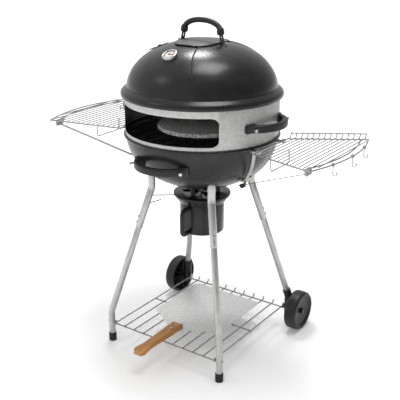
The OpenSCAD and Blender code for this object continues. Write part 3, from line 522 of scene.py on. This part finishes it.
foot_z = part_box("lid_handle_straps")[0].z + 0.0035
strap_height = boot_z + 0.004 - foot_z
half = strap_height / 2
for side, hand in ((-1, "left"), (1, "right")):
    strap = block("lid_grip_strap_" + hand, (strap_wall, strap_width, strap_height))
    bpy.ops.mesh.primitive_cylinder_add(vertices=24, radius=slot_r, depth=0.02,
                                        location=(0, 0, half - 0.011),
                                        rotation=(0, math.radians(90), 0))
    cut_by(strap, start("slot_end"))
    slot_run = block("slot_run", (0.02, 0.0063, 0.011))
    slot_run.location = (0, 0, half - 0.0165)
    cut_by(strap, slot_run)
    break_edges(strap, strap_break)
    lean = Matrix.Rotation(math.atan2(-side * strap_lean, strap_height), 3, "Y").to_quaternion()
    set_down(strap, at(side * 0.0838, 0, foot_z + half), lean)
    toe = block("strap_toe", (0.026, strap_width, 0.0030))
    toe_slope = Matrix.Rotation(math.radians(10 * side), 3, "Y").to_quaternion()
    set_down(toe, at(side * 0.0985, 0, foot_z - 0.0008), toe_slope)
    break_edges(toe, strap_break)
    strap.select_set(True)
    bpy.context.view_layer.objects.active = strap
    bpy.ops.object.join()
    bpy.ops.object.shade_smooth_by_angle(angle=math.radians(40))
    coat(strap, black_steel)
    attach(strap, "lid")
    if side > 0:
        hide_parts("lid_handle_straps")

shield_grey = finish_with("shield_enamel", (0.05, 0.05, 0.051), 0.5)
colour_between(shield_grey, grain_of(shield_grey, 0.03, 5),
               (0.040, 0.040, 0.041), (0.060, 0.060, 0.061))
gloss_by(shield_grey, grain_of(shield_grey, 0.008, 6), 0.42, 0.55)
shield_half_x = 0.079
shield_half_y = 0.100
shield_lift = 0.0040


def squareness(x, y):
    """Where a point lies on the plate's rounded square, which is 1 all round its edge."""
    return (abs(x) ** 3 + abs(y) ** 3) ** (1 / 3)


bpy.ops.object.select_all(action="DESELECT")
bpy.ops.mesh.primitive_grid_add(x_subdivisions=40, y_subdivisions=36, size=1, location=(0, 0, 0))
shield = start("lid_shield")
shield.scale = (2 * shield_half_x, 2 * shield_half_y, 1)
bpy.ops.object.transform_apply(scale=True)
for vertex in shield.data.vertices:
    x, y = vertex.co.x / shield_half_x, vertex.co.y / shield_half_y
    reach = squareness(x, y)
    if reach > 0:
        vertex.co.x *= max(abs(x), abs(y)) / reach
        vertex.co.y *= max(abs(x), abs(y)) / reach
    vertex.co.z = dome_height(vertex.co.xy.length) + shield_lift
wall = shield.modifiers.new("wall", "SOLIDIFY")
wall.thickness = 0.0022
wall.offset = 0
select_only(shield)
bpy.ops.object.modifier_apply(modifier="wall")
bpy.ops.object.shade_smooth_by_angle(angle=math.radians(40))
set_down(shield, at(0, 0, 0))
coat(shield, shield_grey)
shield.data.materials.append(black_steel)
for face in shield.data.polygons:
    face.material_index = 1 if abs(face.normal.z) < 0.5 else 0
rim_steps = 96
rim_points = []
for i in range(rim_steps):
    a = 2 * math.pi * i / rim_steps
    reach = squareness(math.cos(a), math.sin(a))
    x, y = shield_half_x * math.cos(a) / reach, shield_half_y * math.sin(a) / reach
    rim_points.append(at(x, y, dome_height(math.hypot(x, y)) + shield_lift))
shield_rim = tube_along("lid_shield_rim", rim_points, 0.0021, None, 3, True)
coat(shield_rim, black_steel)
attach(shield_rim, "lid")
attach(shield, "lid")
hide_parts("lid_handle_shield")

bright_steel = finish_with("bright_steel", (0.55, 0.55, 0.54), 0.3, 0.9)
colour_between(bright_steel, grain_of(bright_steel, 0.004, 4),
               (0.46, 0.46, 0.45), (0.62, 0.62, 0.61))
gloss_by(bright_steel, grain_of(bright_steel, 0.002, 4), 0.22, 0.38)
refined("lid_grip_screws", "lid_handle_screws", 0.0006, "lid", bright_steel)

# ---- thermometer ----
# A round bimetal thermometer: a pressed bright bezel over a white dial with printed ticks, a black
# pointer, and a stem through the dome held by a nut.

needle_turn = joints["needle_turn"]
dial_seat = Vector(needle_turn["pos_m"])
dial_turn = Vector(needle_turn["axis"]).normalized().to_track_quat("Z", "Y")
bezel_rings = [mm(*p, 0) for p in (
    (1.5, -2.5), (23.0, -2.5), (26.4, -1.5), (27.4, 2.0), (27.5, 8.0), (27.0, 10.6), (25.8, 11.9),
    (23.0, 12.0), (21.6, 11.0), (21.2, 9.2), (21.1, 8.0), (1.5, 8.0))]
bezel = solid_of_revolution("thermometer_bezel", bezel_rings, 72, 50)
set_down(bezel, dial_seat, dial_turn)
coat(bezel, bright_steel)
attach(bezel, "lid")
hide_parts("thermometer_case")


def on_dial(radius, height, angle):
    """A point over the dial, from its centre, its seat and an angle in degrees."""
    a = math.radians(angle)
    return dial_seat + dial_turn @ Vector((radius * math.cos(a), radius * math.sin(a), height))


# A black ring just inside the bezel's lip is painted shadow: the shade the lip casts on the dial.
dial_shadow_points = [on_dial(0.0203, 0.0094, 5 * i) for i in range(72)]
dial_shadow_ring = tube_along("thermometer_dial_shadow", dial_shadow_points, 0.0013, None, 3, True)
coat(dial_shadow_ring, black_steel)
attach(dial_shadow_ring, "lid")


def coat_nodes(finish, *names):
    """Gives CAD nodes that are kept as they are a finish of their own."""
    for name in names:
        for slot in nodes[name].material_slots:
            slot.material = finish


dial_white = finish_with("dial_white", (0.55, 0.50, 0.48), 0.5)
colour_between(dial_white, grain_of(dial_white, 0.01, 4),
               (0.50, 0.45, 0.43), (0.58, 0.53, 0.51))
coat_nodes(dial_white, "thermometer_dial")
dial_ink = finish_with("dial_ink", (0.05, 0.02, 0.02), 0.5)
colour_between(dial_ink, grain_of(dial_ink, 0.003, 3),
               (0.03, 0.015, 0.015), (0.07, 0.03, 0.03))
long_tick = (0.0009, 0.0042, 0.0002)
short_tick = (0.0005, 0.0024, 0.0002)
first_tick = -135
tick_step = 13.5
ticks = []
for i in range(21):
    tick = block("thermometer_tick", short_tick if i % 5 else long_tick)
    break_edges(tick, 0.00005, 1)
    angle = math.radians(first_tick + tick_step * i)
    spin = dial_turn @ Matrix.Rotation(angle, 3, "Z").to_quaternion()
    set_down(tick, dial_seat + spin @ Vector((0, 0.0168, 0.00915)), spin)
    ticks.append(tick)
bpy.ops.object.select_all(action="DESELECT")
for tick in ticks:
    tick.select_set(True)
bpy.context.view_layer.objects.active = ticks[0]
bpy.ops.object.join()
scale_marks = start("thermometer_marks")
coat(scale_marks, dial_ink)
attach(scale_marks, "lid")
zone_points = [on_dial(0.0128, 0.0089, 20 + 5 * i) for i in range(29)]
zone = tube_along("thermometer_zone", zone_points, 0.0004, None, 2)
zone_red = finish_with("zone_red", (0.42, 0.05, 0.03), 0.5)
colour_between(zone_red, grain_of(zone_red, 0.003, 3),
               (0.36, 0.04, 0.03), (0.48, 0.07, 0.04))
coat(zone, zone_red)
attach(zone, "lid")
coat_nodes(black_steel, "thermometer_needle")
coat_nodes(bright_steel, "thermometer_stem")

# ---- vent damper ----
# A thin pressed steel disc with three holes, painted black. It turns on a rivet over the lid's
# own holes.

refined("vent_damper", "lid_damper", 0.0003, "damper", black_steel)

# ---- pizza ring ----
# A band of galvanised sheet with its ends seamed behind, a wide round-cornered mouth in front and
# a skirt that drops inside the bowl. Zinc spangle gives it a faint, cloudy mottling.

galvanised = finish_with("galvanised_sheet", (0.43, 0.43, 0.42), 0.5, 0.45)
spangle = grain_of(galvanised, 0.011, 5)
colour_by(galvanised, spangle,
          ((0.3, (0.38, 0.38, 0.373)), (0.5, (0.43, 0.43, 0.423)), (0.7, (0.49, 0.49, 0.48))))
gloss_by(galvanised, grain_of(galvanised, 0.007, 3, kind="ShaderNodeTexVoronoi"), 0.42, 0.52)
relief_by(galvanised, grain_of(galvanised, 0.004, 2), 0.00002, 0.4)
refined("ring_sheet", "ring_band", 0.0005, "pizza_ring", galvanised)
for hand in ("right", "left"):
    refined("ring_grip_" + hand, "ring_handle_" + hand, 0.0028, "pizza_ring", grip_plastic,
            3)
refined("ring_grip_bolts", "ring_handle_bolts", 0.0008, "pizza_ring", bright_steel)
coat_nodes(black_steel, "stone_rack")

# ---- pizza stone ----
# A round cordierite stone, pressed and fired, matt grey with light and dark grog all through it.

fired_stone = finish_with("fired_stone", (0.36, 0.36, 0.355), 0.92)
colour_by(fired_stone, grain_of(fired_stone, 0.0052, 3),
          ((0.36, (0.16, 0.16, 0.16)), (0.46, (0.38, 0.38, 0.377)), (0.56, (0.56, 0.56, 0.553)),
           (0.66, (0.85, 0.84, 0.83))))
relief_by(fired_stone, grain_of(fired_stone, 0.003, 5), 0.0003, 0.8)
refined("stone_disc", "pizza_stone", 0.0007, "stone", fired_stone)

# ---- bowl ----
# The lower half of the kettle, drawn and enamelled like the lid, with a bead rolled round its rim
# and ash slots in its floor.

refined("kettle_bowl", "bowl", 0.0, "kettle", enamel, sharp=50)
refined("bowl_grip", "bowl_handle_grip", 0.0028, "kettle", grip_plastic, 3)
refined("bowl_grip_brackets", "bowl_handle_bracket", 0.001, "kettle", black_steel)
refined("bowl_grip_bolts", "bowl_handle_bolts", 0.0008, "kettle", bright_steel)
coat_nodes(enamel, "leg_sockets")

# ---- grates ----
# Straight wires welded across a hoop: heavy plain ones under the charcoal, plated ones to cook on.

grate_wire = finish_with("grate_wire", (0.17, 0.17, 0.165), 0.5, 0.6)
colour_between(grate_wire, grain_of(grate_wire, 0.008, 5),
               (0.11, 0.11, 0.105), (0.22, 0.22, 0.215))
relief_by(grate_wire, grain_of(grate_wire, 0.0015, 4), 0.0001)
plated_wire = finish_with("plated_wire", (0.36, 0.36, 0.355), 0.34, 0.85)
colour_between(plated_wire, grain_of(plated_wire, 0.01, 4),
               (0.30, 0.30, 0.295), (0.42, 0.42, 0.415))
gloss_by(plated_wire, grain_of(plated_wire, 0.005, 4), 0.28, 0.42)
coat_nodes(grate_wire, "charcoal_grate")
coat_nodes(plated_wire, "cooking_grate")

# ---- legs ----
# Bent round tubes in two lengths, one pushed into the other and screwed, satin silver all over.
# The front pair stand in rubber caps, and the rear pair end in the wheels' brackets.

leg_silver = finish_with("leg_silver", (0.44, 0.44, 0.43), 0.36, 0.7)
colour_between(leg_silver, grain_of(leg_silver, 0.012, 6, (1, 1, 0.25)),
               (0.42, 0.42, 0.412), (0.52, 0.52, 0.51))
gloss_by(leg_silver, grain_of(leg_silver, 0.004, 6, (1, 1, 0.1)), 0.32, 0.48)
relief_by(leg_silver, grain_of(leg_silver, 0.0008, 3, (1, 1, 0.1)), 0.00002, 0.5)
for corner in ("front_left", "front_right", "rear_right", "rear_left"):
    refined("leg_top_" + corner, "upper_leg_" + corner, 0.0003, "kettle", leg_silver)
    refined("leg_foot_" + corner, "lower_leg_" + corner, 0.0003, "kettle", leg_silver)
refined("leg_screw_heads", "leg_screws", 0.0006, "kettle", bright_steel)
foot_rubber = finish_with("foot_rubber", (0.012, 0.012, 0.012), 0.75)
colour_between(foot_rubber, grain_of(foot_rubber, 0.01, 5),
               (0.009, 0.009, 0.009), (0.017, 0.017, 0.017))
relief_by(foot_rubber, grain_of(foot_rubber, 0.0009, 3), 0.0001)
refined("rubber_feet", "foot_caps", 0.0022, "kettle", foot_rubber, 3)

# ---- wheels ----
# Blow-moulded black plastic wheels on plain steel axles through moulded brackets at the rear
# feet, each kept on by a cap nut.

wheel_plastic = finish_with("wheel_plastic", (0.012, 0.012, 0.013), 0.45, 0.0, 0.4)
colour_between(wheel_plastic, grain_of(wheel_plastic, 0.02, 5),
               (0.010, 0.010, 0.0105), (0.016, 0.016, 0.017))
gloss_by(wheel_plastic, grain_of(wheel_plastic, 0.01, 5), 0.38, 0.55)
relief_by(wheel_plastic, grain_of(wheel_plastic, 0.0009, 3), 0.00008, 0.6)
for hand, body in (("right", "wheel_r"), ("left", "wheel_l")):
    refined("wheel_moulding_" + hand, "wheel_" + hand, 0.0012, body, wheel_plastic,
            2, 30)
    refined("axle_bracket_" + hand, "wheel_bracket_" + hand, 0.0015, "kettle", grip_plastic)
refined("axle_pins", "axles", 0.0005, "kettle", bright_steel)
refined("axle_caps", "axle_nuts", 0.0018, "kettle", grip_plastic, 3)

# ---- shelf ----
# Long wires over three cross wires, zinc plated and a little dull, bolted to the front legs and
# hung on the axles behind.

frame_wire = finish_with("frame_wire", (0.30, 0.30, 0.298), 0.4, 0.7)
colour_between(frame_wire, grain_of(frame_wire, 0.02, 5),
               (0.25, 0.25, 0.247), (0.36, 0.36, 0.355))
gloss_by(frame_wire, grain_of(frame_wire, 0.006, 5), 0.32, 0.5)
coat_nodes(frame_wire, "shelf")
refined("shelf_bolt_heads", "shelf_bolts", 0.0006, "kettle", bright_steel)

# ---- ash catcher ----
# A skirted plate bolted under the bowl, a drawn can that pulls down from it by a moulded grip,
# and a sweeper with three blades turned by a wire lever.

refined("ash_skirt", "ash_plate", 0.0006, "kettle", enamel)
coat_nodes(bright_steel, "ash_plate_bolts")
refined("ash_bucket", "ash_can", 0.0004, "ash_catcher", enamel)
refined("ash_bucket_grip", "ash_can_grip", 0.0008, "ash_catcher", grip_plastic)
strip_steel = finish_with("strip_steel", (0.36, 0.36, 0.355), 0.42, 0.75)
colour_between(strip_steel, grain_of(strip_steel, 0.006, 6),
               (0.30, 0.30, 0.295), (0.43, 0.43, 0.42))
gloss_by(strip_steel, grain_of(strip_steel, 0.004, 5), 0.34, 0.5)
coat_nodes(strip_steel, "sweeper_blades")
refined("sweeper_rod", "sweeper_lever", 0.0004, "sweeper", frame_wire)

# ---- side tables ----
# Fan-shaped wire decks hinged on two lugs of a bracket on the bowl, each held up by a flat strut
# that hooks under a stud. Tool hooks hang from the right-hand table's outer wire.

coat_nodes(frame_wire, "table_right", "table_left")
for hand, body in (("right", "strut_r"), ("left", "strut_l")):
    refined("table_bracket_strip_" + hand, "table_bracket_" + hand, 0.0003, "kettle",
            strip_steel)
    refined("table_strut_" + hand, "strut_" + hand, 0.0004, body, strip_steel)
refined("strut_knob_pair", "strut_knobs", 0.0012, "kettle", grip_plastic, 3)
coat_nodes(frame_wire, "hook_front", "hook_middle", "hook_rear")

# ---- peel ----
# A thin stainless peel with a riveted handle of oiled light oak, kept on the shelf.

peel_steel = finish_with("peel_steel", (0.7, 0.7, 0.7), 0.45, 0.3)
colour_by(peel_steel, grain_of(peel_steel, 0.006, 5),
          ((0.35, (0.62, 0.62, 0.615)), (0.65, (0.82, 0.82, 0.815))))
gloss_by(peel_steel, grain_of(peel_steel, 0.008, 5), 0.34, 0.5)
relief_by(peel_steel, grain_of(peel_steel, 0.009, 3), 0.00025, 0.5)
refined("peel_sheet", "peel_blade", 0.0003, "peel", peel_steel)
oiled_oak = finish_with("oiled_oak", (0.46, 0.20, 0.05), 0.5)
colour_by(oiled_oak, grain_of(oiled_oak, 0.006, 8, (1, 0.06, 1)),
          ((0.3, (0.30, 0.115, 0.028)), (0.5, (0.47, 0.205, 0.053)),
           (0.72, (0.60, 0.30, 0.09))))
gloss_by(oiled_oak, grain_of(oiled_oak, 0.003, 5, (1, 0.05, 1)), 0.42, 0.6)
relief_by(oiled_oak, grain_of(oiled_oak, 0.0016, 5, (1, 0.04, 1)), 0.0001)
refined("peel_grip", "peel_handle", 0.0035, "peel", oiled_oak, 4)
refined("peel_rivet_heads", "peel_rivets", 0.0005, "peel", bright_steel)
